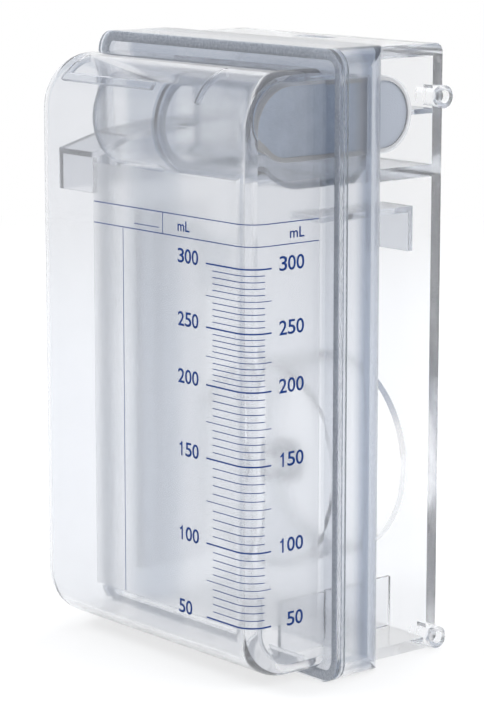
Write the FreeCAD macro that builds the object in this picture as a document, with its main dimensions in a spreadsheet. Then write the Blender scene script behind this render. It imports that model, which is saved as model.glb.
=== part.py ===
# Suction canister: a clear moulded vessel for drained fluid, with a docking frame at its back.
# Millimetres. X runs to the right, the front face looks along -Y, Z is up.
# The origin is the middle of the overall box, on the surface that the canister stands on.
import FreeCAD, Part
import os
import Sketcher

SIZES = {
    # Front half of the vessel
    "shell_width": 93.0,
    "shell_height": 163.0,
    "shell_depth": 26.2,
    "shell_wall": 2.0,
    "bend_radius": 15.5,
    "side_radius": 5.5,
    "bevel_share": 0.6,
    # Welded flange round the vessel
    "flange_side": 5.3,
    "flange_top": 5.3,
    "flange_bottom": 3.0,
    "flange_thickness": 1.3,
    "flange_corner": 6.0,
    "weld_height": 0.4,
    "weld_gap": 0.05,
    "weld_width": 1.8,
    "weld_inset": 1.2,
    # Rear half of the vessel
    "tray_inset": 1.2,
    "tray_depth": 17.5,
    "tray_wall": 2.2,
    "tray_edge": 9.0,
    # Docking frame
    "frame_inset": 5.7,
    "frame_depth": 26.9,
    "frame_top_wall": 3.4,
    "frame_plate": 3.6,
    "frame_floor": 3.2,
    "frame_drop": 0.9,
    "frame_corner": 2.5,
    "frame_shelf_drop": 28.6,
    "frame_shelf": 3.4,
    "bond_gap": 0.05,
    "tube_radius": 3.15,
    "tube_bore": 1.8,
    "tube_reach": 2.4,
    "tube_root": 6.0,
    "tube_set": 1.4,
    "tube_drop": 10.1,
    "latch_width": 14.0,
    "latch_length": 5.0,
    "latch_setback": 10.5,
    "pocket_height": 49.9,
    "pocket_radius": 28.0,
    "pocket_wall": 1.6,
    "rib_drop": 14.6,
    "rib_thickness": 1.4,
    "rib_width": 12.0,
    # Ribs that both halves share
    "ledge_offset": 24.8,
    "ledge_height": 17.8,
    "ledge_thickness": 1.2,
    "baffle_offset": 26.1,
    "baffle_thickness": 1.3,
    "baffle_low": 18.3,
    "baffle_drop": 42.9,
    "baffle_depth": 24.1,
    # Arc ribs under the front top bend
    "arc_rib_left": -39.3,
    "arc_rib_right": 20.7,
    "arc_rib_depth": 1.0,
    "arc_rib_thickness": 1.5,
    "arc_rib_bite": 0.4,
    "arc_bar_start": 39.8,
    "arc_bar_length": 40.2,
    "arc_bar_depth": 1.0,
    # Splash hoods
    "scoop_inset": 2.6,
    "scoop_front": 6.9,
    "scoop_low_drop": 38.1,
    "scoop_brow_drop": 26.6,
    "scoop_knee_depth": 13.6,
    "scoop_knee_drop": 22.9,
    "scoop_high_drop": 20.4,
    "scoop_wall": 1.7,
    "scoop_web": 0.7,
    "scoop_width": 15.5,
    "hood_top_drop": 39.5,
    "hood_lip": 12.4,
    "hood_wall": 1.7,
    "hood_inside": 18.0,
    "hood_outside": 16.3,
    "hood_width": 12.0,
    # Left guide hook
    "hook_high_drop": 51.1,
    "hook_brow_drop": 57.2,
    "hook_low_drop": 71.0,
    "hook_outside": 13.9,
    "hook_wall": 1.7,
    "hook_width": 9.0,
    # Filter chamber
    "chamber_radius": 10.4,
    "chamber_drop": 13.6,
    "chamber_front": 5.0,
    "chamber_length": 55.4,
    "chamber_wall": 1.5,
    "chamber_left": 26.8,
    "chamber_side_gap": 1.9,
    "chamber_fit": 0.1,
    "partition_offset": 0.8,
    "partition_thickness": 2.4,
    "partition_rim": 2.0,
    "trough_growth": 4.2,
    "trough_front": 5.9,
    "trough_gap": 0.2,
    "trough_bevel": 4.0,
    "membrane_thickness": 0.8,
    "membrane_inset": 0.3,
    "filter_frame_thickness": 0.6,
    "filter_frame_width": 1.3,
    # Ports and the inlet's seal
    "inlet_bore": 3.0,
    "inlet_wall": 1.5,
    "inlet_length": 9.0,
    "vacuum_offset": 10.0,
    "vacuum_bore": 2.3,
    "vacuum_wall": 1.2,
    "vacuum_recess": 0.6,
    "vacuum_gap": 0.4,
    "seal_section": 1.8,
    "seal_gap": 0.05,
    "seal_lip": 3.3,
    # Label film
    "film_thickness": 0.12,
    "film_gap": 0.03,
    "film_left": 20.0,
    "film_wrap": 23.9,
    "film_foot": 15.9,
    "film_drop": 28.2,
}

DERIVED = {
    "half_width": "shell_width / 2",
    "flange_half": "half_width + flange_side",
    "overall_height": "flange_bottom + shell_height + flange_top",
    "overall_depth": "shell_depth + flange_thickness * 2 + weld_height + tray_depth + frame_depth"
                     " - tube_set + tube_radius",
    "front": "-overall_depth / 2",
    "seam": "front + shell_depth + flange_thickness",
    "rear_start": "seam + weld_height",
    "tray_start": "rear_start + flange_thickness",
    "tray_back": "tray_start + tray_depth",
    "frame_width": "shell_width - frame_inset * 2",
    "frame_start": "tray_back + bond_gap",
    "frame_back": "tray_back + frame_depth",
    "plate_front": "frame_back - frame_plate",
    "frame_top": "overall_height - frame_drop",
    "tube_line": "frame_back - tube_set",
    "shell_top": "flange_bottom + shell_height",
    "bend_line": "front + bend_radius",
    "bend_height": "shell_top - bend_radius",
    "bend_inside": "bend_radius - shell_wall",
    "inner_bevel": "( side_radius - shell_wall ) * bevel_share",
    "frame_shelf_top": "shell_top - frame_shelf_drop",
    "tube_height": "shell_top - tube_drop",
    "rib_height": "shell_top - rib_drop",
    "baffle_high": "shell_top - baffle_drop",
    "scoop_low": "shell_top - scoop_low_drop",
    "scoop_brow": "shell_top - scoop_brow_drop",
    "scoop_knee": "shell_top - scoop_knee_drop",
    "scoop_high": "shell_top - scoop_high_drop",
    "rail_rise": "( scoop_high - scoop_knee ) / ( tray_back - tray_wall / 2 - front"
                 " - scoop_front - scoop_knee_depth )",
    "rail_root": "scoop_high + rail_rise * ( frame_start - tray_back + tray_wall / 2 )",
    "rail_tip": "scoop_high + rail_rise * ( plate_front - bond_gap - tray_back + tray_wall / 2 )",
    "hood_top": "shell_top - hood_top_drop",
    "hook_high": "shell_top - hook_high_drop",
    "hook_brow": "shell_top - hook_brow_drop",
    "hook_low": "shell_top - hook_low_drop",
    "chamber_height": "shell_top - chamber_drop",
    "film_low": "flange_bottom + film_foot",
    "film_high": "shell_top - film_drop",
    "chamber_line": "front + chamber_front + chamber_radius",
    "chamber_back": "front + chamber_front + chamber_length",
    "trough_radius": "chamber_radius + trough_growth",
    "trough_top": "shell_top - shell_wall - trough_gap",
    "trough_line": "front + trough_front + trough_radius",
    "trough_back": "tray_back - tray_wall - chamber_fit",
    "recess_line": "trough_back - chamber_radius",
    "bevel_loss": "2 - sqrt(2)",
    "recess_left": "partition_offset - partition_thickness / 2",
    "chamber_right": "half_width - shell_wall - chamber_side_gap",
    "filter_seat": "chamber_right - filter_frame_thickness - membrane_thickness",
    "chamber_inside": "chamber_radius - chamber_wall",
    "inlet_outside": "inlet_bore + inlet_wall",
    "vacuum_outside": "vacuum_bore + vacuum_wall",
}

ARC_RIB_START = 98.0
ARC_RIB_SWEEPS = {"arc_rib_left": 44.0, "arc_rib_right": 56.0}
ARC_BAR_START = 134.0
ARC_BAR_SWEEP = 9.0

ALONG_X = FreeCAD.Rotation(FreeCAD.Vector(1, 1, 1), 120)
ALONG_Y = FreeCAD.Rotation(FreeCAD.Vector(1, 0, 0), -90)
FACING_FRONT = FreeCAD.Rotation(FreeCAD.Vector(1, 0, 0), 90)
NEAR = 0.01

doc = FreeCAD.newDocument("suction_canister")
sheet = doc.addObject("Spreadsheet::Sheet", "Sizes")


def fill_sheet():
    """Write the driving dimensions, then the sizes that follow from them."""
    for row, (alias, value) in enumerate(SIZES.items(), 1):
        sheet.set(f"A{row}", alias)
        sheet.set(f"B{row}", str(value))
        sheet.setAlias(f"B{row}", alias)
    for row, (alias, formula) in enumerate(DERIVED.items(), len(SIZES) + 1):
        sheet.set(f"A{row}", alias)
        sheet.set(f"B{row}", "=" + formula)
        sheet.setAlias(f"B{row}", alias)
    doc.recompute()


WORDS = sorted([*SIZES, *DERIVED], key=len, reverse=True)


def cell(expression):
    """Put the sheet's name before each alias in an expression."""
    words = []
    for word in expression.replace("(", "( ").replace(")", " )").split():
        bare = word.lstrip("-")
        sign = word[:len(word) - len(bare)]
        words.append(f"{sign}<<Sizes>>.{bare}" if bare in WORDS else word)
    return " ".join(words)


def value(expression):
    """Work out an expression of the sheet's aliases as a number."""
    return float(sheet.evalExpression(cell(expression)))


def bind(item, **expressions):
    """Bind each named size of an object to an expression of the sheet's aliases."""
    for name, expression in expressions.items():
        item.setExpression(name, cell(expression))


def place(item, corner, rotation=None):
    """Put an object's own origin at a corner given by three expressions."""
    if rotation:
        item.Placement = FreeCAD.Placement(FreeCAD.Vector(), rotation)
    for axis, expression in zip("xyz", corner):
        item.setExpression(f"Placement.Base.{axis}", cell(expression))


def block(name, low, size):
    """A plain box from its low corner and its three sizes."""
    item = doc.addObject("Part::Box", name)
    bind(item, Length=size[0], Width=size[1], Height=size[2])
    place(item, low)
    return item


def rod(name, centre, radius, length, rotation, sweep=None):
    """A cylinder that starts at a point and runs along the rotated Z axis."""
    item = doc.addObject("Part::Cylinder", name)
    bind(item, Radius=radius, Height=length)
    place(item, centre, rotation)
    if sweep:
        item.Angle = sweep
    return item


def fuse(name, shapes):
    """Join solids that are moulded as one."""
    item = doc.addObject("Part::MultiFuse", name)
    item.Shapes = shapes
    item.Refine = True
    return item


def cut(name, base, tool):
    """Take one solid out of another."""
    item = doc.addObject("Part::Cut", name)
    item.Base = base
    item.Tool = tool
    item.Refine = True
    return item


def common(name, first, second):
    """Keep what two solids share."""
    item = doc.addObject("Part::Common", name)
    item.Base = first
    item.Tool = second
    return item


def edges_along(shape, direction, keep=None):
    """Names of the straight edges along a direction, all of them or those that keep accepts."""
    names = []
    for number, edge in enumerate(shape.Edges, 1):
        if not isinstance(edge.Curve, Part.Line):
            continue
        straight = edge.tangentAt(edge.FirstParameter).cross(direction).Length < NEAR
        if straight and (keep is None or keep(edge.CenterOfMass)):
            names.append(f"Edge{number}")
    return names


def slab(name, low, size, along, radius, keep=None):
    """A box as a body, with the edges along one axis rounded."""
    body = doc.addObject("PartDesign::Body", name)
    solid = body.newObject("PartDesign::AdditiveBox", name + "_block")
    bind(solid, Length=size[0], Width=size[1], Height=size[2])
    place(body, low)
    doc.recompute()
    rounding = body.newObject("PartDesign::Fillet", name + "_rounding")
    rounding.Base = (solid, edges_along(solid.Shape, along, keep))
    bind(rounding, Radius=radius)
    return body


def stadium(name, start, length, front_line, back_line, height, radius):
    """A bar along X whose section is a slot with round ends, between two lines in Y."""
    drop = f"{height} - ( {radius} )"
    core = block(name + "_core", (start, front_line, drop),
                 (length, f"{back_line} - ( {front_line} )", f"( {radius} ) * 2"))
    nose = rod(name + "_nose", (start, front_line, height), radius, length, ALONG_X)
    tail = rod(name + "_tail", (start, back_line, height), radius, length, ALONG_X)
    return fuse(name, [core, nose, tail])


def plane_of(body, role):
    """One of a body's own origin planes."""
    return next(item for item in body.Origin.OriginFeatures if item.Role == role)


def outline(body, name, points, offset=None):
    """A closed sketch of straight lines on a body's XY plane, with each point bound to the sheet."""
    sketch = body.newObject("Sketcher::SketchObject", name)
    sketch.AttachmentSupport = [(plane_of(body, "XY_Plane"), "")]
    sketch.MapMode = "FlatFace"
    if offset:
        sketch.setExpression("AttachmentOffset.Base.z", cell(offset))
    spots = [FreeCAD.Vector(value(x), value(y), 0) for x, y in points]
    for number, spot in enumerate(spots):
        sketch.addGeometry(Part.LineSegment(spot, spots[(number + 1) % len(spots)]), False)
    for number in range(len(spots)):
        sketch.addConstraint(Sketcher.Constraint("Coincident", number, 2, (number + 1) % len(spots), 1))
    for number, (x, y) in enumerate(points):
        for kind, expression in (("DistanceX", x), ("DistanceY", y)):
            index = sketch.addConstraint(
                Sketcher.Constraint(kind, -1, 1, number, 1, value(expression)))
            sketch.renameConstraint(index, f"{kind}{number}")
            sketch.setExpression(f"Constraints.{kind}{number}", cell(expression))
    return sketch


def rectangle(left, right, low, high):
    """The four corners of a rectangle."""
    return [(left, low), (right, low), (right, high), (left, high)]


def pad(body, name, sketch, length):
    """Raise a sketch into a solid."""
    solid = body.newObject("PartDesign::Pad", name)
    solid.Profile = sketch
    bind(solid, Length=length)
    return solid


def drawn_tray(name, inset, overrun):
    """A tray's form with a large bend above and below, its mouth down, and the edges of its two sides."""
    body = doc.addObject("PartDesign::Body", name)
    place(body, ("0", f"seam + {overrun}", "0"), FACING_FRONT)
    face = outline(body, name + "_outline",
                   rectangle(f"{inset} - half_width", f"half_width - {inset}",
                             f"flange_bottom + {inset}", f"shell_top - {inset}"))
    depth = f"shell_depth + flange_thickness + {overrun} - {inset}"
    solid = pad(body, name + "_pad", face, depth)
    doc.recompute()
    reach = value(depth)
    across = FreeCAD.Vector(1, 0, 0)
    bends = body.newObject("PartDesign::Fillet", name + "_bends")
    bends.Base = (solid, edges_along(solid.Shape, across, lambda spot: spot.z > reach - NEAR))
    bind(bends, Radius=f"bend_radius - {inset}")
    doc.recompute()
    side = value(f"half_width - {inset}") - NEAR
    rims = [f"Edge{number}" for number, edge in enumerate(bends.Shape.Edges, 1)
            if abs(edge.CenterOfMass.x) > side and edge.CenterOfMass.z > NEAR]
    return body, bends, rims


def front_vessel():
    """The outside of the front half, with rounded sides."""
    body, bends, rims = drawn_tray("front_vessel", "0", "0")
    corners = body.newObject("PartDesign::Fillet", "front_corners")
    corners.Base = (bends, rims)
    bind(corners, Radius="side_radius")
    return body


def front_cavity():
    """The inside of the front half, with bevelled sides that keep the wall even."""
    body, bends, rims = drawn_tray("front_cavity", "shell_wall", "1")
    bevels = body.newObject("PartDesign::Chamfer", "cavity_bevels")
    bevels.Base = (bends, rims)
    bind(bevels, Size="inner_bevel")
    return body


def bend_sector(name, offset, thickness, depth, start, sweep):
    """A rib that follows the inside of the upper bend through an angle."""
    turned = ALONG_X.multiply(FreeCAD.Rotation(FreeCAD.Vector(0, 0, 1), start))
    centre = (offset, "bend_line", "bend_height")
    outer = rod(name + "_outer", centre, "bend_inside + arc_rib_bite", thickness, turned, sweep)
    inner = rod(name + "_inner", (f"{offset} - 1", "bend_line", "bend_height"),
                f"bend_inside - {depth}", f"{thickness} + 2", ALONG_X)
    return cut(name, outer, inner)


def front_shell():
    """The front half with its flange, the arc ribs under its top bend and the bar across them."""
    flange = slab("front_flange", ("-flange_half", "seam - flange_thickness", "0"),
                  ("flange_half * 2", "flange_thickness", "overall_height"),
                  FreeCAD.Vector(0, 1, 0), "flange_corner")
    pieces = [cut("front_walls", fuse("front_block", [front_vessel(), flange]), front_cavity())]
    for offset, sweep in ARC_RIB_SWEEPS.items():
        pieces.append(bend_sector(f"{offset}_sector", offset, "arc_rib_thickness",
                                  "arc_rib_depth", ARC_RIB_START, sweep))
    pieces.append(bend_sector("arc_bar", "-arc_bar_start", "arc_bar_length",
                              "arc_bar_depth", ARC_BAR_START, ARC_BAR_SWEEP))
    return fuse("front_shell", pieces)


def tray_form(name, inset, back, height_low, height, start, edge):
    """A rounded block: flange corners seen from the front, a wider round on its rear side edges."""
    size = (f"( flange_half - {inset} ) * 2", f"{back} - ( {start} )", height)
    low = (f"{inset} - flange_half", start, height_low)
    seen = slab(name + "_face", low, size, FreeCAD.Vector(0, 1, 0), f"flange_corner - ( {inset} ) / 2")
    depth = value(size[1])
    plan = slab(name + "_plan", low, size, FreeCAD.Vector(0, 0, 1), edge,
                lambda spot: spot.y > depth - NEAR)
    return common(name, seen, plan)


def weld_bead():
    """The melted bead that joins the two flanges, part of the rear half."""
    outer = slab("bead_outer", ("weld_inset - flange_half", "seam + weld_gap", "weld_inset"),
                 ("( flange_half - weld_inset ) * 2", "weld_height - weld_gap",
                  "overall_height - weld_inset * 2"),
                 FreeCAD.Vector(0, 1, 0), "flange_corner - weld_inset")
    inset = "( weld_inset + weld_width )"
    inner = slab("bead_inner", (f"{inset} - flange_half", "seam - 1", inset),
                 (f"( flange_half - {inset} ) * 2", "weld_height + 2",
                  f"overall_height - {inset} * 2"),
                 FreeCAD.Vector(0, 1, 0), f"flange_corner - {inset}")
    return cut("bead", outer, inner)


def scoop():
    """The left splash hood: a roof that climbs to the rear wall, with a front lip and a thin end web."""
    front_face = "( front + scoop_front )"
    knee = f"{front_face} + scoop_knee_depth"
    wall = "tray_back - tray_wall / 2"
    roof = [(front_face, "scoop_low"), (f"{front_face} + scoop_wall", "scoop_low"),
            (f"{front_face} + scoop_wall", "scoop_brow - scoop_wall"),
            (knee, "scoop_knee - scoop_wall"), (wall, "scoop_high - scoop_wall"),
            (wall, "scoop_high"), (knee, "scoop_knee"), (front_face, "scoop_brow")]
    web = [(front_face, "scoop_low"), (wall, "scoop_low"), (wall, "scoop_high"),
           (knee, "scoop_knee"), (front_face, "scoop_brow")]
    pieces = []
    for name, points, width in (("scoop_roof", roof, "scoop_width"), ("scoop_end", web, "scoop_web")):
        body = doc.addObject("PartDesign::Body", name)
        place(body, ("scoop_inset - half_width", "0", "0"), ALONG_X)
        pad(body, name + "_pad", outline(body, name + "_outline", points), width)
        pieces.append(body)
    return pieces


def hood():
    """The right splash hood: a level roof through the rear wall, with a lip down at its back end."""
    side = "frame_width / 2 - hood_width"
    roof = block("hood_roof", (side, "tray_back - hood_inside", "hood_top - hood_wall"),
                 ("hood_width", "hood_inside + hood_outside", "hood_wall"))
    lip = block("hood_lip", (side, "tray_back + hood_outside - hood_wall", "hood_top - hood_lip"),
                ("hood_width", "hood_wall", "hood_lip"))
    return [roof, lip]


def hook():
    """The left guide hook behind the vessel: an arm that slopes down to the back and turns down."""
    root = "tray_back - tray_wall / 2"
    tip = "tray_back + hook_outside"
    points = [(root, "hook_high - hook_wall"), (root, "hook_high"), (tip, "hook_brow"),
              (tip, "hook_low"), (f"{tip} - hook_wall", "hook_low"),
              (f"{tip} - hook_wall", "hook_brow - hook_wall")]
    body = doc.addObject("PartDesign::Body", "hook")
    place(body, ("-frame_width / 2", "0", "0"), ALONG_X)
    pad(body, "hook_pad", outline(body, "hook_outline", points), "hook_width")
    return body


def rear_shell():
    """The rear half: a tray with rounded rear edges, its bead, baffle, ledge, hoods and hook."""
    outside = tray_form("tray_outside", "tray_inset", "tray_back", "0",
                        "overall_height", "tray_start", "tray_edge")
    cavity = tray_form("tray_cavity", "( tray_inset + tray_wall )", "tray_back - tray_wall",
                       "tray_wall", "overall_height - tray_wall * 2", "tray_start - 3",
                       "tray_edge - tray_wall")
    flange = slab("rear_flange", ("-flange_half", "rear_start", "0"),
                  ("flange_half * 2", "flange_thickness", "overall_height"),
                  FreeCAD.Vector(0, 1, 0), "flange_corner")
    walls = cut("tray_walls", fuse("tray_block", [outside, flange]), cavity)
    baffle = block("baffle", ("-baffle_offset", "tray_back - tray_wall - baffle_depth", "baffle_low"),
                   ("baffle_thickness", "baffle_depth + tray_wall / 2", "baffle_high - baffle_low"))
    ledge = block("tray_ledge", ("ledge_offset", "rear_start", "tray_wall / 2"),
                  ("ledge_thickness", "tray_back - rear_start - tray_wall / 2",
                   "ledge_height - tray_wall / 2"))
    seat = rod("inlet_seat", ("0", "tray_back - tray_wall - 1", "pocket_height"),
               "inlet_outside + bond_gap", "tray_wall + 2", ALONG_Y)
    window = stadium("chamber_window", "recess_left - chamber_fit",
                     "chamber_right - recess_left + chamber_fit * 2", "recess_line",
                     "chamber_back - chamber_radius", "chamber_height", "chamber_radius + chamber_fit")
    solid = fuse("rear_solid", [walls, weld_bead(), baffle, ledge, *scoop(), *hood(), hook()])
    return cut("rear_shell", cut("rear_with_window", solid, window), seat)


def inlet_spigot():
    """The tube that the drained fluid enters by, set in the rear wall."""
    outer = rod("spigot_outer", ("0", "tray_back - tray_wall", "pocket_height"),
                "inlet_outside", "tray_wall + inlet_length", ALONG_Y)
    flow = rod("spigot_flow", ("0", "tray_back - tray_wall - 1", "pocket_height"),
               "inlet_bore", "tray_wall + inlet_length + 2", ALONG_Y)
    return cut("inlet_spigot", outer, flow)


def docking_frame():
    """The open frame that slides on to the pump: a C section with a shelf, drawn in one outline."""
    top_inside = "frame_top - frame_top_wall"
    shelf_low = "frame_shelf_top - frame_shelf"
    body = doc.addObject("PartDesign::Body", "frame_section")
    place(body, ("-frame_width / 2", "0", "0"), ALONG_X)
    points = [("frame_start", "0"), ("frame_back", "0"), ("frame_back", "frame_top"),
              ("frame_start", "frame_top"), ("frame_start", top_inside),
              ("plate_front", top_inside), ("plate_front", "frame_shelf_top"),
              ("frame_start", "frame_shelf_top"), ("frame_start", shelf_low),
              ("plate_front", shelf_low), ("plate_front", "frame_floor"),
              ("frame_start", "frame_floor")]
    solid = pad(body, "frame_pad", outline(body, "frame_outline", points), "frame_width")
    doc.recompute()
    back = value("frame_back") - NEAR
    corners = body.newObject("PartDesign::Fillet", "frame_corners")
    corners.Base = (solid, edges_along(solid.Shape, FreeCAD.Vector(0, 0, 1), lambda spot: spot.x > back))
    bind(corners, Radius="frame_corner")
    pieces = [body]
    pieces.append(block("frame_ledge", ("ledge_offset", "frame_start", "frame_floor / 2"),
                        ("ledge_thickness", "plate_front - frame_start + 1",
                         "ledge_height - frame_floor / 2")))
    bores = []
    for level, height in (("lower", "tube_radius"), ("upper", "tube_height")):
        for side, tube_start, bore_start in (
                ("left", "-frame_width / 2 - tube_reach", "-frame_width / 2 - tube_reach"),
                ("right", "frame_width / 2 - tube_root", "frame_width / 2")):
            name = f"{level}_{side}"
            pieces.append(rod(f"tube_{name}", (tube_start, "tube_line", height), "tube_radius",
                              "tube_root + tube_reach", ALONG_X))
            bores.append(rod(f"bore_{name}", (bore_start, "tube_line", height), "tube_bore",
                             "tube_reach", ALONG_X))
    cuts = bores + [
        rod("pocket_hole", ("0", "plate_front - 1", "pocket_height"),
            "pocket_radius + pocket_wall + bond_gap", "frame_plate + 2", ALONG_Y),
        block("latch_slot", ("-latch_width / 2", "frame_back - latch_setback - latch_length / 2",
                             "frame_top - frame_top_wall - 1"),
              ("latch_width", "latch_length", "frame_top_wall + 2")),
        rod("vacuum_hole", ("vacuum_offset", "plate_front - 1", "chamber_height"),
            "vacuum_outside + vacuum_gap", "frame_plate + 2", ALONG_Y),
    ]
    return cut("docking_frame", fuse("frame_solid", pieces), fuse("frame_cuts", cuts))


def pocket_wall():
    """The round wall between the rear of the vessel and the frame's plate, which takes the pump's boss."""
    outer = rod("pocket_outer", ("0", "frame_start", "pocket_height"),
                "pocket_radius + pocket_wall", "frame_back - frame_start", ALONG_Y)
    space = rod("pocket_space", ("0", "frame_start - 1", "pocket_height"), "pocket_radius",
                "frame_depth + 2", ALONG_Y)
    return cut("pocket_wall", outer, space)


def trough_slice(name, start, length, inset):
    """A slice of the chamber's main section along X, round in front and bevelled behind, less an inset."""
    radius = f"trough_radius - ( {inset} )"
    top = f"trough_top - ( {inset} )"
    foot = f"trough_top - trough_radius * 2 + ( {inset} )"
    back = f"trough_back - ( {inset} )"
    bevel = f"( trough_bevel - ( {inset} ) * bevel_loss )"
    points = [("trough_line", foot), (f"{back} - {bevel}", foot), (back, f"{foot} + {bevel}"),
              (back, f"{top} - {bevel}"), (f"{back} - {bevel}", top), ("trough_line", top)]
    body = doc.addObject("PartDesign::Body", name + "_body")
    place(body, (start, "0", "0"), ALONG_X)
    pad(body, name + "_pad", outline(body, name + "_outline", points), length)
    nose = rod(name + "_nose", (start, "trough_line", "trough_top - trough_radius"), radius, length, ALONG_X)
    return fuse(name, [body, nose])


def filter_chamber():
    """The air chamber at the top: a trough open at the left, with a rim, a recess and a filter seat."""
    tail = "chamber_back - chamber_radius"
    trough = trough_slice("trough_outside", "-chamber_left", "filter_seat + chamber_left", "0")
    recess = stadium("recess_outside", "recess_left", "filter_seat - recess_left", "recess_line", tail,
                     "chamber_height", "chamber_radius")
    seat = stadium("seat_plate", "filter_seat - chamber_wall", "chamber_wall", "chamber_line", tail,
                   "chamber_height", "chamber_radius")
    trough_space = trough_slice("trough_space", "-chamber_left - 1",
                                "filter_seat + chamber_left - chamber_wall + 1", "chamber_wall")
    recess_space = stadium("recess_space", "recess_left + chamber_wall",
                           "filter_seat - recess_left - chamber_wall + 1", "recess_line", tail,
                           "chamber_height", "chamber_inside")
    seat_hole = stadium("seat_hole", "filter_seat - chamber_wall - 1", "chamber_wall + 2",
                        "chamber_line", tail, "chamber_height", "chamber_inside")
    shell = cut("chamber_shell", fuse("chamber_outside", [trough, recess, seat]),
                fuse("chamber_voids", [trough_space, recess_space, seat_hole]))
    rim = cut("partition_rim",
              trough_slice("partition_disc", "recess_left", "partition_thickness", "chamber_wall / 2"),
              trough_slice("partition_hole", "recess_left - 1", "partition_thickness + 2",
                           "chamber_wall + partition_rim"))
    spigot = rod("vacuum_spigot", ("vacuum_offset", "chamber_back - chamber_wall", "chamber_height"),
                 "vacuum_outside", "frame_back - chamber_back + chamber_wall - vacuum_recess", ALONG_Y)
    flow = rod("vacuum_flow", ("vacuum_offset", "chamber_back - chamber_wall - 1", "chamber_height"),
               "vacuum_bore", "frame_back - chamber_back + chamber_wall + 2", ALONG_Y)
    return cut("filter_chamber", fuse("chamber_solid", [shell, rim, spigot]), flow)


def right_rib():
    """The frame's level rib at its right side, behind the filter chamber."""
    return block("right_rib", ("frame_width / 2 - rib_width", "chamber_back + chamber_fit * 3", "rib_height"),
                 ("rib_width", "plate_front - bond_gap - chamber_back - chamber_fit * 3", "rib_thickness"))


def left_rail():
    """The frame's sloped rail at its left side, which carries on the line of the scoop's roof."""
    rail = doc.addObject("PartDesign::Body", "left_rail")
    place(rail, ("-frame_width / 2", "0", "0"), ALONG_X)
    tip = "plate_front - bond_gap"
    edge = [("frame_start", "rail_root - rib_thickness"), (tip, "rail_tip - rib_thickness"),
            (tip, "rail_tip"), ("frame_start", "rail_root")]
    pad(rail, "rail_pad", outline(rail, "rail_outline", edge), "rib_width")
    return rail


def filter_membrane():
    """The grey filter sheet that closes the chamber's right end."""
    return stadium("filter_membrane", "filter_seat", "membrane_thickness", "chamber_line",
                   "chamber_back - chamber_radius", "chamber_height", "chamber_radius - membrane_inset")


def filter_frame():
    """The flat ring that holds the filter sheet by its edge."""
    tail = "chamber_back - chamber_radius"
    outer = stadium("filter_ring_outer", "filter_seat + membrane_thickness", "filter_frame_thickness",
                    "chamber_line", tail, "chamber_height", "chamber_radius")
    inner = stadium("filter_ring_inner", "filter_seat", "membrane_thickness + filter_frame_thickness + 1",
                    "chamber_line", tail, "chamber_height", "chamber_radius - filter_frame_width")
    return cut("filter_frame", outer, inner)


def inlet_seal():
    """A rubber ring of square section round the inlet spigot."""
    start = "tray_back + inlet_length - seal_lip"
    outer = rod("seal_outer", ("0", start, "pocket_height"),
                "inlet_outside + seal_gap + seal_section", "seal_section", ALONG_Y)
    inner = rod("seal_inner", ("0", f"{start} - 1", "pocket_height"),
                "inlet_outside + seal_gap", "seal_section + 2", ALONG_Y)
    return cut("inlet_seal", outer, inner)


def label_film():
    """The clear film that carries the scale, on the front and round the right corner."""
    outer_step = "( film_gap + film_thickness )"
    bands = []
    for name, step in (("film_outer", outer_step), ("film_inner", "film_gap")):
        bands.append(slab(name, (f"-half_width - {step}", f"front - {step}", "flange_bottom"),
                          (f"( half_width + {step} ) * 2", f"shell_depth + {step}", "shell_height"),
                          FreeCAD.Vector(0, 0, 1), f"side_radius + {step}",
                          lambda spot: spot.y < NEAR))
    window = block("film_extent", ("-film_left", "front - 1", "film_low"),
                   ("film_left + half_width + 2", "film_wrap + 1", "film_high - film_low"))
    return common("label_film", cut("film_band", *bands), window)


def build():
    """Build every sub-part and give its Label as the node's name."""
    fill_sheet()
    nodes = [front_shell(), rear_shell(), inlet_spigot(), inlet_seal(), docking_frame(), pocket_wall(),
             right_rib(), left_rail(), filter_chamber(), filter_membrane(), filter_frame(), label_film()]
    for node in nodes:
        node.Label = node.Name
    doc.recompute()
    return nodes


def check(nodes):
    """Stop if an object failed or a sub-part's shape isn't whole."""
    failed = [item.Name for item in doc.Objects if {"Invalid", "Error"} & set(item.State)]
    if failed:
        raise SystemExit("failed objects: " + ", ".join(failed))
    for node in nodes:
        if node.Shape.isNull() or not node.Shape.isValid() or not node.Shape.Solids:
            raise SystemExit("bad shape: " + node.Label)


def write(nodes):
    """Write each sub-part to its own STEP file."""
    os.makedirs("parts", exist_ok=True)
    for node in nodes:
        node.Shape.exportStep(f"parts/{node.Label}.step")
        box = node.Shape.BoundBox
        print(f"{node.Label}: {len(node.Shape.Solids)} solid, {node.Shape.Volume:.0f} mm3, "
              f"x {box.XMin:.2f} {box.XMax:.2f} y {box.YMin:.2f} {box.YMax:.2f} "
              f"z {box.ZMin:.2f} {box.ZMax:.2f}")


parts = build()
check(parts)
write(parts)
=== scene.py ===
"""Looks of a clear moulded suction canister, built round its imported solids.

Every length is in millimetres until it meets a mesh or a shader, where MM turns it into metres.
"""
import logging
import math
from dataclasses import dataclass, field
from enum import Enum
from typing import Any

import bmesh
import bpy
from mathutils import Matrix, Vector


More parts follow.
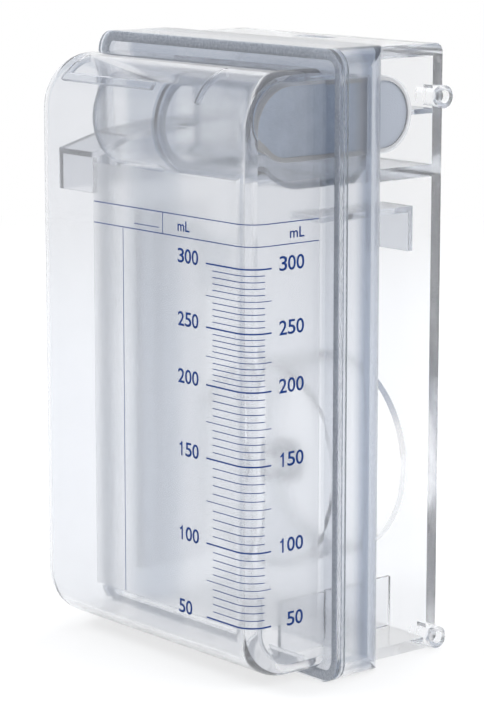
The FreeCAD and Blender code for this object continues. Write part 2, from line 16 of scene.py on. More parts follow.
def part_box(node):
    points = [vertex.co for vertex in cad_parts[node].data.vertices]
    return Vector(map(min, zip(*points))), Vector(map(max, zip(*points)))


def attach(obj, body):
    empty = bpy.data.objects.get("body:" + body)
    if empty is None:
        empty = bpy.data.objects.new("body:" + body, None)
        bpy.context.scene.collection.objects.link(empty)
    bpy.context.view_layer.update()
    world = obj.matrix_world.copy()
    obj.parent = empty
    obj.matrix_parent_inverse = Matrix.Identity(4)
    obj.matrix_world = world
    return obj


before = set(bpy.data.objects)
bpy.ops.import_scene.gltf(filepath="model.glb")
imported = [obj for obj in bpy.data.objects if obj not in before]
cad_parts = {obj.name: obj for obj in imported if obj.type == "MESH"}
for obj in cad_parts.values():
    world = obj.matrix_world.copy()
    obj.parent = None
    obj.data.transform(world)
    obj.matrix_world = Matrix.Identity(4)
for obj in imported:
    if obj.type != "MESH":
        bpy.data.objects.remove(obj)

MM = 0.001
BODY = "root"
WHITE = (1.0, 1.0, 1.0)
MIX_FIRST, MIX_SECOND, MIX_RESULT = 6, 7, 2
Colour = tuple[float, float, float]
Span = tuple[float, float]
log = logging.getLogger("canister")


class Side(Enum):
    """The face of the film that a mark lies on."""

    FRONT = "front"
    RIGHT = "right"


class Reading(Enum):
    """How a line of the scale is drawn, by the volume that it marks."""

    MAJOR = "major"
    MIDDLE = "middle"
    MINOR = "minor"


class Value:
    """A shader socket that takes Python's arithmetic, each step as a Math node."""

    def __init__(self, graph: "Graph", source: bpy.types.NodeSocket) -> None:
        """Keep the socket and the graph that its Math nodes go to.

        Args:
            graph: The graph that the value belongs to.
            source: An output socket.
        """
        self.graph = graph
        self.source = source

    def _join(self, operation: str, first: Any, second: Any) -> "Value":
        """Add one Math node.

        Args:
            operation: The Math node's operation.
            first: The first operand, a value, socket or number.
            second: The second operand.

        Returns:
            The result as a value.
        """
        made = self.graph.node("ShaderNodeMath", {"operation": operation}, {0: first, 1: second})
        return Value(self.graph, made.outputs[0])

    def __add__(self, other: Any) -> "Value":
        """Self plus other."""
        return self._join("ADD", self, other)

    def __radd__(self, other: Any) -> "Value":
        """Other plus self."""
        return self._join("ADD", other, self)

    def __sub__(self, other: Any) -> "Value":
        """Self minus other."""
        return self._join("SUBTRACT", self, other)

    def __rsub__(self, other: Any) -> "Value":
        """Other minus self."""
        return self._join("SUBTRACT", other, self)

    def __mul__(self, other: Any) -> "Value":
        """Self times other."""
        return self._join("MULTIPLY", self, other)

    def __abs__(self) -> "Value":
        """The size of the value without its sign."""
        return self._join("ABSOLUTE", self, 0.0)


@dataclass(frozen=True)
class Grain:
    """Noise of a real size: a feature's length, its finer octaves and how each axis is squeezed."""

    size: float
    detail: float = 3.0
    stretch: Colour = (1.0, 1.0, 1.0)


class Graph:
    """The node tree of one material or of the world."""

    def __init__(self, tree: bpy.types.NodeTree) -> None:
        """Empty the tree.

        Args:
            tree: The node tree to fill.
        """
        self.tree = tree
        tree.nodes.clear()

    def node(self, kind: str, settings: dict[str, Any] | None = None,
             sockets: dict[Any, Any] | None = None) -> bpy.types.Node:
        """Add a node, set it up, then give its sockets their values or links.

        Args:
            kind: The node's type.
            settings: Properties set before the sockets.
            sockets: Values, sockets or numbers by input name or index.

        Returns:
            The new node.
        """
        made = self.tree.nodes.new(kind)
        for name, setting in (settings or {}).items():
            setattr(made, name, setting)
        for key, given in (sockets or {}).items():
            source = given.source if isinstance(given, Value) else given
            if isinstance(source, bpy.types.NodeSocket):
                self.tree.links.new(source, made.inputs[key])
            else:
                made.inputs[key].default_value = source
        return made

    def place(self) -> bpy.types.NodeSocket:
        """Read the surface's place.

        Returns:
            Its object coordinates, in metres.
        """
        return self.node("ShaderNodeTexCoord").outputs["Object"]

    def along(self, axis: str) -> Value:
        """Read one of the object coordinates.

        Args:
            axis: X, Y or Z.

        Returns:
            The coordinate in metres.
        """
        split = self.node("ShaderNodeSeparateXYZ", None, {0: self.place()})
        return Value(self, split.outputs[axis])

    def grain(self, pattern: Grain) -> Value:
        """Add noise with features of a real size.

        Args:
            pattern: The noise's size, detail and stretch.

        Returns:
            A value from 0 to 1.
        """
        spread = self.node("ShaderNodeMapping", None,
                           {"Vector": self.place(), "Scale": pattern.stretch})
        made = self.node("ShaderNodeTexNoise", {"noise_dimensions": "3D"}, {
            "Vector": spread.outputs[0],
            "Scale": 1.0 / (pattern.size * MM),
            "Detail": pattern.detail,
        })
        return Value(self, made.outputs["Fac"])

    def band(self, value: Value, low: float, high: float) -> Value:
        """Ramp a value smoothly from 0 at one end to 1 at the other.

        Args:
            value: The value to read.
            low: Where the ramp starts.
            high: Where it ends.

        Returns:
            The ramp, from 0 to 1.
        """
        made = self.node("ShaderNodeMapRange", {"interpolation_type": "SMOOTHSTEP"},
                         {"Value": value, "From Min": low, "From Max": high})
        return Value(self, made.outputs["Result"])

    def mix(self, factor: Any, first: Any, second: Any) -> bpy.types.NodeSocket:
        """Blend two colours.

        Args:
            factor: How much of the second colour shows.
            first: A colour or colour socket.
            second: The other.

        Returns:
            The blended colour.
        """
        made = self.node("ShaderNodeMix", {"data_type": "RGBA"}, {
            0: factor, MIX_FIRST: self._full(first), MIX_SECOND: self._full(second)})
        return made.outputs[MIX_RESULT]

    def _full(self, colour: Any) -> Any:
        """Give a plain colour its fourth number.

        Args:
            colour: A colour or colour socket.

        Returns:
            The colour with its alpha, or the socket as it was.
        """
        return (*colour, 1.0) if isinstance(colour, tuple) else colour

    def bump(self, height: Value, strength: float, distance: float) -> bpy.types.NodeSocket:
        """Raise the surface's normal by a height.

        Args:
            height: The height, from 0 to 1.
            strength: How strongly it shows.
            distance: The full height in millimetres.

        Returns:
            The normal.
        """
        made = self.node("ShaderNodeBump", None,
                         {"Height": height, "Strength": strength, "Distance": distance * MM})
        return made.outputs["Normal"]

    def show(self, surface: bpy.types.NodeSocket, inside: bpy.types.NodeSocket | None = None) -> None:
        """End the material.

        Args:
            surface: The shader of its surface.
            inside: The shader of its volume, if it has one.
        """
        sockets = {"Surface": surface}
        if inside is not None:
            sockets["Volume"] = inside
        self.node("ShaderNodeOutputMaterial", None, sockets)


@dataclass(frozen=True)
class Finish:
    """What every finish has: a name and a way to become a material."""

    name: str

    def material(self) -> bpy.types.Material:
        """Make the material.

        Returns:
            The finished material.
        """
        made = bpy.data.materials.new(self.name)
        made.use_nodes = True
        self.shade(Graph(made.node_tree))
        return made

    def shade(self, graph: Graph) -> None:
        """Fill the graph; each finish does this its own way.

        Args:
            graph: The graph of the material.
        """
        raise NotImplementedError


@dataclass(frozen=True)
class Region:
    """A soft-edged region of a piece where shade is painted into the colour, in millimetres; a limit
    that is left out is open.

    A bend is a rod along X, given by its Y, its Z and its radius, and the region lies outside it.
    """

    x: Span | None = None
    y: Span | None = None
    z: Span | None = None
    mirrored: bool = False
    bend: tuple[float, float, float] | None = None
    strength: float = 1.0
    soft: float = 0.3

    def mask(self, graph: Graph) -> Value:
        """Read how far the surface lies inside the region.

        Args:
            graph: The graph of the material.

        Returns:
            From 0 outside to the strength inside.
        """
        total: Any = self.strength
        for axis, span in (("X", self.x), ("Y", self.y), ("Z", self.z)):
            if span is None:
                continue
            spot = graph.along(axis)
            if self.mirrored and axis == "X":
                spot = abs(spot)
            total = self._between(graph, spot, span) * total
        if self.bend is not None:
            line, height, radius = self.bend
            across = graph.along("Y") - line * MM
            above = graph.along("Z") - height * MM
            square = across * across + above * above
            outside = graph.band(square, ((radius - self.soft) * MM) ** 2, (radius * MM) ** 2)
            total = (1 - outside) * total
        return total

    def _between(self, graph: Graph, spot: Value, span: Span) -> Value:
        """Read whether a coordinate lies within a span.

        Args:
            graph: The graph of the material.
            spot: The coordinate, in metres.
            span: The span's two ends, in millimetres.

        Returns:
            One within the span, falling to 0 over its soft edges.
        """
        low, high = (limit * MM for limit in span)
        edge = self.soft * MM
        return graph.band(spot, low - edge, low) * (1 - graph.band(spot, high, high + edge))


@dataclass(frozen=True)
class Weld:
    """A thin line round the vessel where the plastic melted milky and speckled."""

    line: float
    half: float = 0.25
    core: float = 0.8
    cover: float = 0.8
    dark: Colour = (0.5, 0.55, 0.62)
    pale: Colour = (0.8, 0.83, 0.87)
    specks: Grain = Grain(0.6, 2.0)
    speck_span: Span = (0.38, 0.62)
    roughness: float = 0.45
    bump: float = 0.5
    bump_depth: float = 0.2

    def over(self, graph: Graph, surface: bpy.types.NodeSocket) -> bpy.types.NodeSocket:
        """Lay the weld over a surface.

        Args:
            graph: The graph of the material.
            surface: The shader under the weld.

        Returns:
            The two shaders mixed.
        """
        across = abs(graph.along("Y") - self.line * MM)
        share = 1 - graph.band(across, self.half * MM * self.core, self.half * MM)
        specks = graph.band(graph.grain(self.specks), *self.speck_span)
        melt = graph.node("ShaderNodeBsdfPrincipled", None, {
            "Base Color": graph.mix(specks, self.dark, self.pale),
            "Roughness": self.roughness,
            "Normal": graph.bump(specks, self.bump, self.bump_depth),
        })
        mixed = graph.node("ShaderNodeMixShader", None,
                           {0: share * self.cover, 1: surface, 2: melt.outputs[0]})
        return mixed.outputs[0]


@dataclass(frozen=True)
class ClearPlastic(Finish):
    """Clear moulded plastic with faint flow marks, a lightly frosted skin and regions of painted
    shade.
    """

    tint: Colour = (0.955, 0.96, 0.974)
    cloud: Colour = (0.935, 0.942, 0.96)
    roughness: float = 0.05
    frosting: float = 0.06
    clearness: float = 0.94
    refraction: float = 1.4
    absorbed: Colour = (0.42, 0.52, 0.66)
    density: float = 8.0
    flow: Grain = Grain(26.0, 2.0, (1.0, 1.0, 0.45))
    flow_span: Span = (0.35, 0.7)
    flow_share: float = 0.6
    skin: Grain = Grain(0.7, 4.0)
    ripple: float = 0.05
    ripple_depth: float = 0.4
    weld: Weld | None = None
    # the colour of the shade painted into the regions below
    deep: Colour = (0.58, 0.62, 0.69)
    regions: tuple[Region, ...] = ()

    def shade(self, graph: Graph) -> None:
        """Mix flow marks, painted shade in its regions and frosting into the colour, roughness and
        skin.

        Args:
            graph: The graph of the material.
        """
        flow = graph.grain(self.flow)
        skin = graph.grain(self.skin)
        colour = graph.mix(graph.band(flow, *self.flow_span), self.tint, self.cloud)
        # paint each region's shade into the colour
        for region in self.regions:
            colour = graph.mix(region.mask(graph), colour, self.deep)
        height = flow * self.flow_share + skin * (1.0 - self.flow_share)
        surface = graph.node("ShaderNodeBsdfPrincipled", None, {
            "Base Color": colour,
            "Roughness": self.roughness + skin * flow * self.frosting,
            "IOR": self.refraction,
            "Transmission Weight": self.clearness,
            "Normal": graph.bump(height, self.ripple, self.ripple_depth),
        }).outputs[0]
        if self.weld is not None:
            surface = self.weld.over(graph, surface)
        inside = graph.node("ShaderNodeVolumeAbsorption", None,
                            {"Color": (*self.absorbed, 1.0), "Density": self.density})
        graph.show(surface, inside.outputs[0])


@dataclass(frozen=True)
class SatinFilm(Finish):
    """Thin clear film with a satin face that blurs what lies behind it."""

    tint: Colour = (0.985, 0.988, 0.995)
    streak: Colour = (0.968, 0.975, 0.985)
    roughness: float = 0.16
    clearness: float = 0.95
    refraction: float = 1.3
    fine: Grain = Grain(0.5, 3.0)
    fine_roughness: float = 0.06
    broad: Grain = Grain(30.0, 1.0)
    broad_share: float = 0.7
    streak_span: Span = (0.35, 0.65)
    bump: float = 0.08
    bump_depth: float = 0.05

    def shade(self, graph: Graph) -> None:
        """Vary the haze a little in fine grain and broad bands.

        Args:
            graph: The graph of the material.
        """
        fine = graph.grain(self.fine)
        broad = graph.grain(self.broad)
        streaks = graph.band(broad * self.broad_share + fine * (1.0 - self.broad_share),
                             *self.streak_span)
        film = graph.node("ShaderNodeBsdfPrincipled", None, {
            "Base Color": graph.mix(streaks, self.tint, self.streak),
            "Roughness": self.roughness + fine * self.fine_roughness,
            "IOR": self.refraction,
            "Transmission Weight": self.clearness,
            "Normal": graph.bump(fine, self.bump, self.bump_depth),
        })
        graph.show(film.outputs[0])


@dataclass(frozen=True)
class Ink(Finish):
    """Dark blue print, a little uneven in its cover."""

    colour: Colour = (0.004, 0.03, 0.15)
    thin: Colour = (0.012, 0.05, 0.2)
    roughness: float = 0.5
    sheen: float = 0.1
    specks: Grain = Grain(0.16, 2.0)
    speck_span: Span = (0.5, 0.75)
    speck_roughness: float = 0.12

    def shade(self, graph: Graph) -> None:
        """Let fine specks of the print run thin.

        Args:
            graph: The graph of the material.
        """
        specks = graph.grain(self.specks)
        ink = graph.node("ShaderNodeBsdfPrincipled", None, {
            "Base Color": graph.mix(graph.band(specks, *self.speck_span), self.colour, self.thin),
            "Roughness": self.roughness + specks * self.speck_roughness,
            "Specular IOR Level": self.sheen,
        })
        graph.show(ink.outputs[0])


@dataclass(frozen=True)
class FilterSheet(Finish):
    """Grey porous filter sheet, matt, with a felted grain, and shade painted darker past the vessel's
    rear wall.
    """

    light: Colour = (0.43, 0.51, 0.64)
    dark: Colour = (0.33, 0.4, 0.52)
    # the colour of the shade painted onto the sheet past the vessel's rear wall
    outside: Colour = (0.3, 0.32, 0.36)
    past_wall: Region = Region(y=(6.0, 30.0), soft=6.0)
    roughness: float = 0.85
    pore_size: float = 0.35
    mottle: Grain = Grain(4.0, 4.0)
    mottle_share: float = 0.6
    mottle_span: Span = (0.25, 0.75)
    mottle_roughness: float = 0.1
    bump: float = 0.35
    bump_depth: float = 0.12

    def shade(self, graph: Graph) -> None:
        """Lay pores over a soft mottle.

        Args:
            graph: The graph of the material.
        """
        pores = graph.node("ShaderNodeTexVoronoi", {"feature": "F1"},
                           {"Vector": graph.place(), "Scale": 1.0 / (self.pore_size * MM)})
        hole = Value(graph, pores.outputs["Distance"])
        mottle = graph.grain(self.mottle)
        felt = graph.band(mottle * self.mottle_share + hole * (1.0 - self.mottle_share),
                          *self.mottle_span)
        colour = graph.mix(felt, self.dark, self.light)
        sheet = graph.node("ShaderNodeBsdfPrincipled", None, {
            "Base Color": graph.mix(self.past_wall.mask(graph), colour, self.outside),
            "Roughness": self.roughness - mottle * self.mottle_roughness,
            "Normal": graph.bump(hole, self.bump, self.bump_depth),
        })
        graph.show(sheet.outputs[0])


def dress(node: str, finish: Finish) -> None:
    """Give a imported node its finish.

    Args:
        node: The node's name.
        finish: The finish that it gets.
    """
    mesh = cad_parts[node].data
    mesh.materials.clear()
    mesh.materials.append(finish.material())
    log.info("dressed %s as %s", node, finish.name)


def add_piece(name: str, mesh: bpy.types.Mesh, material: bpy.types.Material) -> bpy.types.Object:
    """Put a new mesh into the scene as a piece of the object.

    Args:
        name: The piece's name.
        mesh: Its mesh, already in place.
        material: Its material.

    Returns:
        The new object.
    """
    mesh.materials.clear()
    mesh.materials.append(material)
    piece = bpy.data.objects.new(name, mesh)
    bpy.context.scene.collection.objects.link(piece)
    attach(piece, BODY)
    log.info("built %s, %d faces", name, len(mesh.polygons))
    return piece


@dataclass
class Wrap:
    """The film's outer face unrolled: along X on the front, round the corner, then back along Y."""

    radius: float = 5.65
    left: float = field(init=False)
    right: float = field(init=False)
    front: float = field(init=False)

    def __post_init__(self) -> None:
        """Read the film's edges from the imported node."""
        low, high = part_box("label_film")
        self.left, self.front = low[0] / MM, low[1] / MM
        self.right = high[0] / MM

    def run_at_depth(self, y: float) -> float:
        """Turn a place on the right face into a run along the film.

        Args:
            y: The place's Y, past the corner.

        Returns:
            The run, as the X that it would have on an unrolled front.
        """
        corner = self.right - self.radius
        return corner + self.radius * math.pi / 2 + (y - (self.front + self.radius))

    def settle(self, point: Vector) -> Vector:
        """Roll a point of the unrolled film round the corner.

        Args:
            point: The run, the depth under the face and the height.

        Returns:
            The point on the canister.
        """
        corner = self.right - self.radius
        over = point.x - corner
        arc = self.radius * math.pi / 2
        if over <= 0:
            return Vector((point.x, self.front + point.y, point.z))
        if over < arc:
            angle = over / self.radius
            reach = self.radius - point.y
            return Vector((corner + reach * math.sin(angle),
                           self.front + self.radius - reach * math.cos(angle), point.z))
        return Vector((self.right - point.y, self.front + self.radius + over - arc, point.z))


@dataclass
class ScalePrint:
    """The print on the film: ruled lines, volume scale, its numbers and their unit.

    Heights are Z. Runs on the front face are X. Ends on the right face are Y, past the corner.
    """

    wrap: Wrap
    ink: bpy.types.Material
    depth: float = -0.02
    thickness: float = 0.05
    seam: float = 0.001
    step: int = 5
    major_step: int = 50
    middle_step: int = 25
    heights: dict[int, float] = field(default_factory=lambda: {
        50: 19.2, 100: 39.7, 150: 63.0, 200: 82.9, 250: 98.4, 300: 115.4})
    line_width: dict[Reading, float] = field(default_factory=lambda: {
        Reading.MAJOR: 0.42, Reading.MIDDLE: 0.2, Reading.MINOR: 0.22})
    long_line: Span = (28.7, -30.45)
    short_line: Span = (31.4, -32.7)
    line_faces: int = 28
    number_height: float = 3.9
    digit_width: float = 2.96
    number_left: float = 16.9
    number_right: float = -19.2
    number_lift: float = 1.0
    number_gap: float = 0.3
    boldness: float = 0.01
    one: tuple[Span, ...] = (
        (0.44, 0.0), (0.64, 0.0), (0.64, 1.0), (0.5, 1.0),
        (0.36, 0.86), (0.18, 0.8), (0.18, 0.69), (0.44, 0.73))
    one_cell: Span = (0.0, 1.0)
    unit_size: Span = (5.0, 2.8)
    head_lines: Span = (127.1, 121.3)
    head_end: float = -14.1
    head_faces: int = 80
    rule_width: float = 0.24
    fine_share: float = 0.8
    column: float = -6.8
    separator: float = 10.5
    writing_line: tuple[float, float, float] = (-1.9, 8.8, 122.8)

    def build(self) -> None:
        """Build the four pieces of the print."""
        self._finish("scale_lines", self._scale_lines())
        self._finish("rule_lines", self._rule_lines())
        self._finish("scale_numbers", self._numbers())
        self._finish("scale_units", self._units())

    def _upright(self, run: float, height: float) -> Matrix:
        """Stand a flat shape up on the unrolled film.

        Args:
            run: The run that its origin gets.
            height: The height that its origin gets.

        Returns:
            The matrix that does so.
        """
        return Matrix.Translation((run, 0.0, height)) @ Matrix.Rotation(math.pi / 2, 4, "X")

    def _bar(self, work: bmesh.types.BMesh, ends: Span, height: float, width: float,
             pieces: int = 1) -> None:
        """Lay a flat printed bar on the unrolled film.

        Args:
            work: The mesh to add to.
            ends: Where the bar's run starts and ends.
            height: The height of its middle line.
            width: Its width, up and down.
            pieces: How many faces long it is, so that it can bend.
        """
        start, end = ends
        middle = self._upright(start + (end - start) / 2, height)
        size = Matrix.Diagonal((end - start, width, 1.0, 1.0))
        bmesh.ops.create_grid(work, x_segments=pieces, y_segments=1, size=0.5,
                              matrix=middle @ size)

    def _scale_lines(self) -> bmesh.types.BMesh:
        """Lay the lines of the scale, evenly spaced between its numbered heights.

        Returns:
            The flat print.
        """
        work = bmesh.new()
        levels = sorted(self.heights.items())
        for (low, start), (high, end) in zip(levels, levels[1:]):
            for volume in range(low, high, self.step):
                share = (volume - low) / (high - low)
                self._scale_line(work, volume, start + (end - start) * share)
        self._scale_line(work, *levels[-1])
        return work

    def _scale_line(self, work: bmesh.types.BMesh, volume: int, height: float) -> None:
        """Lay one line of the scale.

        Args:
            work: The mesh to add to.
            volume: The volume that it marks.
            height: Its height.
        """
        reading = Reading.MINOR
        if volume % self.major_step == 0:
            reading = Reading.MAJOR
        elif volume % self.middle_step == 0:
            reading = Reading.MIDDLE
        start, end = self.short_line if reading is Reading.MINOR else self.long_line
        ends = (start, self.wrap.run_at_depth(end))
        self._bar(work, ends, height, self.line_width[reading], self.line_faces)

    def _rule_lines(self) -> bmesh.types.BMesh:
        """Lay the heading's two lines, its separator, the line to write on and the column's edge.

        Returns:
            The flat print.
        """
        work = bmesh.new()
        far = self.wrap.run_at_depth(self.head_end)
        left = self.wrap.left + self.rule_width
        fine = self.rule_width * self.fine_share
        upper, lower = self.head_lines
        for height in self.head_lines:
            self._bar(work, (left, far), height, self.rule_width, self.head_faces)
        start, end, height = self.writing_line
        self._bar(work, (start, end), height, fine)
        foot = min(self.heights.values())
        for run, top, bottom in ((self.separator, upper, lower), (self.column, lower, foot)):
            self._bar(work, (run - fine / 2, run + fine / 2), (top + bottom) / 2, top - bottom)
        return work

    def _glyph(self, text: str) -> tuple[bpy.types.Mesh, Span]:
        """Turn a character or a short word into a flat mesh in its own plane.

        Args:
            text: What it says.

        Returns:
            The mesh, and the left and right edge of the cell that it fills.
        """
        if text == "1":
            flat = bpy.data.meshes.new(text)
            flat.from_pydata([(x, y, 0.0) for x, y in self.one], [], [range(len(self.one))])
            return flat, self.one_cell
        curve = bpy.data.curves.new(text, "FONT")
        curve.body = text
        curve.offset = self.boldness
        holder = bpy.data.objects.new(text, curve)
        bpy.context.scene.collection.objects.link(holder)
        bpy.context.view_layer.update()
        shaped = holder.evaluated_get(bpy.context.evaluated_depsgraph_get())
        flat = bpy.data.meshes.new_from_object(shaped)
        bpy.data.objects.remove(holder)
        bpy.data.curves.remove(curve)
        xs = [vertex.co.x for vertex in flat.vertices]
        return flat, (min(xs), max(xs))

    def _set(self, work: bmesh.types.BMesh, text: str, corner: Span, size: Span) -> None:
        """Set a character or a short word in an exact size.

        Args:
            work: The mesh to add to.
            text: What it says.
            corner: The run and the height of its lower left corner.
            size: Its width and its height.
        """
        flat, (left, right) = self._glyph(text)
        ys = [vertex.co.y for vertex in flat.vertices]
        width, tall = size
        fit = Matrix.Diagonal((width / (right - left), tall / (max(ys) - min(ys)), 1.0, 1.0))
        home = Matrix.Translation((-left, -min(ys), 0.0))
        flat.transform(self._upright(*corner) @ fit @ home)
        work.from_mesh(flat)
        bpy.data.meshes.remove(flat)

    def _start(self, side: Side, width: float) -> float:
        """Find where a row begins: it has a left edge on the front and a right edge on the side.

        Args:
            side: The face that it lies on.
            width: How long it is.

        Returns:
            The run of its left edge.
        """
        if side is Side.RIGHT:
            return self.wrap.run_at_depth(self.number_right) - width
        return self.number_left

    def _numbers(self) -> bmesh.types.BMesh:
        """Set the numbers on both faces, digit by digit.

        Returns:
            The flat print.
        """
        work = bmesh.new()
        digit = (self.digit_width - self.number_gap, self.number_height)
        for volume, height in self.heights.items():
            text = str(volume)
            for side in Side:
                start = self._start(side, self.digit_width * len(text) - self.number_gap)
                for place, character in enumerate(text):
                    corner = (start + self.digit_width * place, height - self.number_lift)
                    self._set(work, character, corner, digit)
        return work

    def _units(self) -> bmesh.types.BMesh:
        """Set the unit over each column of numbers.

        Returns:
            The flat print.
        """
        work = bmesh.new()
        width, tall = self.unit_size
        foot = sum(self.head_lines) / 2 - tall / 2
        for side in Side:
            self._set(work, "mL", (self._start(side, width), foot), self.unit_size)
        return work

    def _finish(self, name: str, work: bmesh.types.BMesh) -> None:
        """Give flat print its thickness, roll it round the corner and add it as a piece.

        Args:
            name: The piece's name.
            work: The flat print on the unrolled film.
        """
        bmesh.ops.remove_doubles(work, verts=work.verts, dist=self.seam)
        for vertex in work.verts:
            vertex.co.y = self.depth
        bmesh.ops.recalc_face_normals(work, faces=work.faces)
        bmesh.ops.solidify(work, geom=list(work.faces), thickness=-self.thickness)
        nearest = min(vertex.co.y for vertex in work.verts)
        for vertex in work.verts:
            vertex.co.y += self.depth - nearest
            vertex.co = self.wrap.settle(vertex.co) * MM
        bmesh.ops.recalc_face_normals(work, faces=work.faces)
        mesh = bpy.data.meshes.new(name)
        work.to_mesh(mesh)
        work.free()
        add_piece(name, mesh, self.ink)


@dataclass
class Vessel:
    """The two halves of the vessel with their weld, film and print."""

    front_finish: ClearPlastic = ClearPlastic(
        "clear_front", roughness=0.03, frosting=0.04, regions=(
            # painted shade: on the weld flange, then on the arc ribs and the bar under the top bend
            Region(y=(-11.6, -10.0), strength=0.4),
            Region(x=(-44.2, 44.2), bend=(-22.175, 150.5, 13.35), strength=0.8),
        ))
    rear_finish: ClearPlastic = ClearPlastic(
        "clear_rear", roughness=0.12, weld=Weld(-9.975), regions=(
            # painted shade on the weld flange: its sides, top and foot
            Region(x=(44.6, 60.0), y=(-10.2, -8.3), mirrored=True, strength=0.4),
            Region(y=(-10.2, -8.3), z=(163.9, 180.0), strength=0.4),
            Region(y=(-10.2, -8.3), z=(-5.0, 5.2), strength=0.25),
            # painted shade on the tray's rounded rear edges: its sides and top
            Region(x=(38.5, 60.0), y=(-0.5, 12.0), mirrored=True, strength=0.95, soft=2.0),
            Region(y=(-0.5, 12.0), z=(161.0, 180.0), strength=0.95, soft=2.0),
            # painted shade on the scoop's roof and its outer side
            Region(x=(-44.4, -28.0), y=(-33.0, 7.0), z=(143.5, 148.0), strength=0.35),
            Region(x=(-44.4, -43.2), y=(-33.0, 7.0), z=(124.0, 143.5), strength=0.15),
            # painted shade on the baffle's front edge
            Region(x=(-26.3, -24.6), y=(-17.9, -16.4), z=(18.0, 124.0), strength=0.9),
            # painted shade on the hood and the hook behind the rear wall
            Region(y=(9.2, 30.0), strength=0.4),
        ))
    film_finish: SatinFilm = SatinFilm("satin_film")
    ink: Ink = Ink("blue_print")

    def build(self) -> None:
        """Dress the halves, then lay the print on the film."""
        dress("front_shell", self.front_finish)
        dress("rear_shell", self.rear_finish)
        dress("label_film", self.film_finish)
        ScalePrint(Wrap(), self.ink.material()).build()


@dataclass
class Dock:
    """The docking frame behind the vessel with its rails, pocket, inlet and seal."""

    frame_finish: ClearPlastic = ClearPlastic(
        "clear_frame", tint=(0.955, 0.96, 0.972), cloud=(0.935, 0.942, 0.96),
        roughness=0.1, frosting=0.1, clearness=0.96, refraction=1.28, density=3.0,
        regions=(
            # painted shade on the shelf
            Region(y=(8.0, 32.2), z=(134.5, 137.6), strength=0.3),
        ))
    pocket_finish: ClearPlastic = ClearPlastic(
        "clear_pocket", tint=(0.97, 0.975, 0.985), cloud=(0.955, 0.962, 0.975),
        roughness=0.12, refraction=1.2, density=1.0)
    rail_finish: ClearPlastic = ClearPlastic(
        "clear_rail", tint=(0.82, 0.84, 0.875), cloud=(0.78, 0.8, 0.84), roughness=0.08)
    seal_finish: ClearPlastic = ClearPlastic(
        "pale_rubber", roughness=0.3, clearness=0.7, density=1.0)

    def build(self) -> None:
        """Dress the frame, its pocket and inlet, its two rails and the seal."""
        dress("docking_frame", self.frame_finish)
        for node in ("pocket_wall", "inlet_spigot"):
            dress(node, self.pocket_finish)
        for node in ("left_rail", "right_rib"):
            dress(node, self.rail_finish)
        dress("inlet_seal", self.seal_finish)


@dataclass
class AirFilter:
    """The filter chamber, the sheet that closes it and the ring round the sheet."""

    chamber_finish: ClearPlastic = ClearPlastic(
        "clear_chamber", tint=(0.94, 0.95, 0.965), cloud=(0.92, 0.93, 0.945), roughness=0.06,
        deep=(0.38, 0.43, 0.51), regions=(
            # painted shade on the trough's open end, the rim across its middle, its right half and
            # that half's foot
            Region(x=(-27.0, -25.2), strength=0.8, soft=0.1),
            Region(x=(-0.5, 2.1), soft=0.1),
            Region(x=(2.2, 45.0), strength=0.3, soft=0.1),
            Region(x=(2.2, 45.0), z=(130.0, 136.5), strength=0.4),
        ))
    ring_finish: ClearPlastic = ClearPlastic(
        "pale_ring", roughness=0.25, clearness=0.6, density=1.0)
    sheet_finish: FilterSheet = FilterSheet("grey_filter")

    def build(self) -> None:
        """Dress the chamber, its filter sheet and the ring round it."""
        dress("filter_chamber", self.chamber_finish)
        dress("filter_frame", self.ring_finish)
        dress("filter_membrane", self.sheet_finish)


@dataclass(frozen=True)
class Lamp:
    """A soft square lamp that looks at the middle of the canister and isn't mirrored in it."""

    name: str
    spot: tuple[float, float, float]
    size: float
    power: float
    aim: tuple[float, float, float] = (0.0, 0.0, 85.0)

    def build(self) -> None:
        """Hang the lamp and turn it to its aim."""
        light = bpy.data.lights.new(self.name, "AREA")
        light.size = self.size * MM
        light.energy = self.power
        lamp = bpy.data.objects.new(self.name, light)
        lamp.visible_glossy = False
        lamp.visible_transmission = False
        lamp.location = Vector(self.spot) * MM
        toward = Vector(self.aim) * MM - lamp.location
        lamp.rotation_euler = toward.to_track_quat("-Z", "Y").to_euler()
        bpy.context.scene.collection.objects.link(lamp)


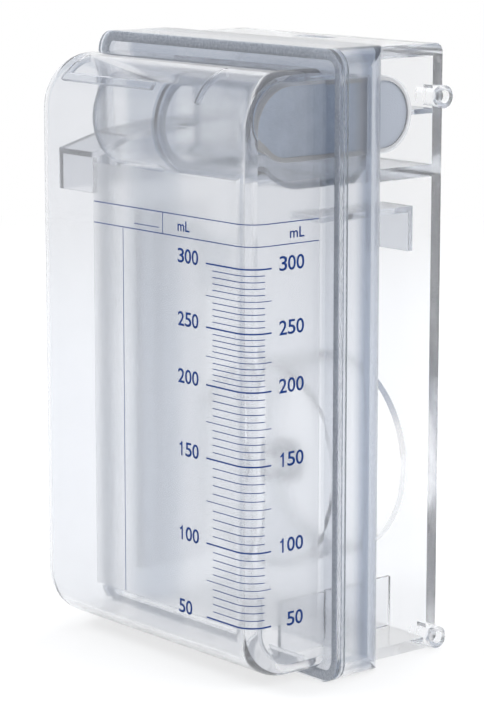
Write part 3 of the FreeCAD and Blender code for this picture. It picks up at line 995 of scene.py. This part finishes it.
@dataclass
class Studio:
    """A pale floor, an even surround, soft lamps and the camera."""

    camera_spot: tuple[float, float, float] = (583.99, -492.84, 224.97)
    camera_yaw: float = 49.91
    camera_pitch: float = 10.61
    camera_lens: float = 139.52
    camera_near: float = 50.0
    film_width: float = 36.0
    floor_size: float = 6000.0
    floor_colour: Colour = (0.86, 0.87, 0.88)
    floor_speck: Colour = (0.84, 0.85, 0.87)
    floor_grain: Grain = Grain(60.0, 2.0)
    floor_grain_share: float = 0.1
    floor_roughness: float = 0.9
    floor_white: float = 0.72
    shadow_reach: Span = (250.0, 900.0)
    fill: Colour = (0.78, 0.8, 0.84)
    zenith: Colour = (0.5, 0.54, 0.62)
    zenith_span: Span = (0.25, 0.8)
    bounces: int = 32
    lamps: tuple[Lamp, ...] = (
        Lamp("key_lamp", (-500.0, -700.0, 900.0), 500.0, 9.0),
        Lamp("side_lamp", (900.0, 100.0, 700.0), 500.0, 6.0),
        Lamp("rear_lamp", (-300.0, 900.0, 700.0), 700.0, 9.0),
    )

    def build(self) -> None:
        """Set up the whole studio."""
        self._floor()
        self._surround()
        for lamp in self.lamps:
            lamp.build()
        self._camera()
        scene = bpy.context.scene
        scene.view_settings.view_transform = "Standard"
        scene.cycles.max_bounces = self.bounces
        scene.cycles.glossy_bounces = self.bounces
        scene.cycles.transmission_bounces = self.bounces
        scene.cycles.transparent_max_bounces = self.bounces
        log.info("studio ready")

    def _seen(self, graph: Graph) -> Value:
        """Tell the rays that show the surround from those that only light the object.

        Args:
            graph: The graph of the floor or of the world.

        Returns:
            One for rays from the camera, off gloss or through clear plastic, and 0 for the rest.
        """
        path = graph.node("ShaderNodeLightPath").outputs
        camera = Value(graph, path["Is Camera Ray"])
        return graph.band(camera + path["Is Glossy Ray"] + path["Is Transmission Ray"], 0.0, 1.0)

    def _floor(self) -> None:
        """Lay a floor that shows white, whiter far off, and keeps the object's shadow."""
        work = bmesh.new()
        bmesh.ops.create_grid(work, x_segments=1, y_segments=1, size=self.floor_size * MM / 2)
        mesh = bpy.data.meshes.new("floor")
        work.to_mesh(mesh)
        work.free()
        made = bpy.data.materials.new("pale_floor")
        made.use_nodes = True
        graph = Graph(made.node_tree)
        specks = graph.grain(self.floor_grain) * self.floor_grain_share
        matt = graph.node("ShaderNodeBsdfPrincipled", None, {
            "Base Color": graph.mix(specks, self.floor_colour, self.floor_speck),
            "Roughness": self.floor_roughness,
        })
        white = graph.node("ShaderNodeEmission", None, {"Color": (*WHITE, 1.0), "Strength": 1.0})
        square = graph.along("X") * graph.along("X") + graph.along("Y") * graph.along("Y")
        near, far = self.shadow_reach
        faded = graph.band(square, (near * MM) ** 2, (far * MM) ** 2)
        share = faded * (1.0 - self.floor_white) + self.floor_white
        blend = graph.node("ShaderNodeMixShader", None, {
            0: self._seen(graph) * share, 1: matt.outputs[0], 2: white.outputs[0]})
        graph.show(blend.outputs[0])
        mesh.materials.append(made)
        floor = bpy.data.objects.new("floor", mesh)
        bpy.context.scene.collection.objects.link(floor)

    def _surround(self) -> None:
        """Make the surround white for the camera, greyer overhead in gloss, and a plain fill."""
        world = bpy.data.worlds.new("surround")
        bpy.context.scene.world = world
        world.use_nodes = True
        graph = Graph(world.node_tree)
        spot = graph.node("ShaderNodeTexCoord").outputs["Generated"]
        split = graph.node("ShaderNodeSeparateXYZ", None, {0: spot})
        height = Value(graph, split.outputs["Z"])
        sky = graph.mix(graph.band(height, *self.zenith_span), WHITE, self.zenith)
        camera = graph.node("ShaderNodeLightPath").outputs["Is Camera Ray"]
        shown = graph.mix(camera, sky, WHITE)
        light = graph.node("ShaderNodeBackground", None, {
            "Color": graph.mix(self._seen(graph), self.fill, shown), "Strength": 1.0})
        graph.node("ShaderNodeOutputWorld", None, {"Surface": light.outputs[0]})

    def _camera(self) -> None:
        """Set the camera at the photograph's viewing angle."""
        yaw, pitch = math.radians(self.camera_yaw), math.radians(self.camera_pitch)
        look = Vector((-math.sin(yaw) * math.cos(pitch), math.cos(yaw) * math.cos(pitch),
                       -math.sin(pitch)))
        lens = bpy.data.cameras.new("camera")
        lens.sensor_width = self.film_width
        lens.lens = self.camera_lens
        lens.clip_start = self.camera_near * MM
        camera = bpy.data.objects.new("camera", lens)
        camera.location = Vector(self.camera_spot) * MM
        camera.rotation_euler = look.to_track_quat("-Z", "Y").to_euler()
        bpy.context.scene.collection.objects.link(camera)
        bpy.context.scene.camera = camera


def main() -> None:
    """Build the looks in order."""
    logging.basicConfig(level=logging.INFO, format="%(name)s: %(message)s")
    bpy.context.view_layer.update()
    Vessel().build()
    Dock().build()
    AirFilter().build()
    Studio().build()


if __name__ == "__main__":
    main()
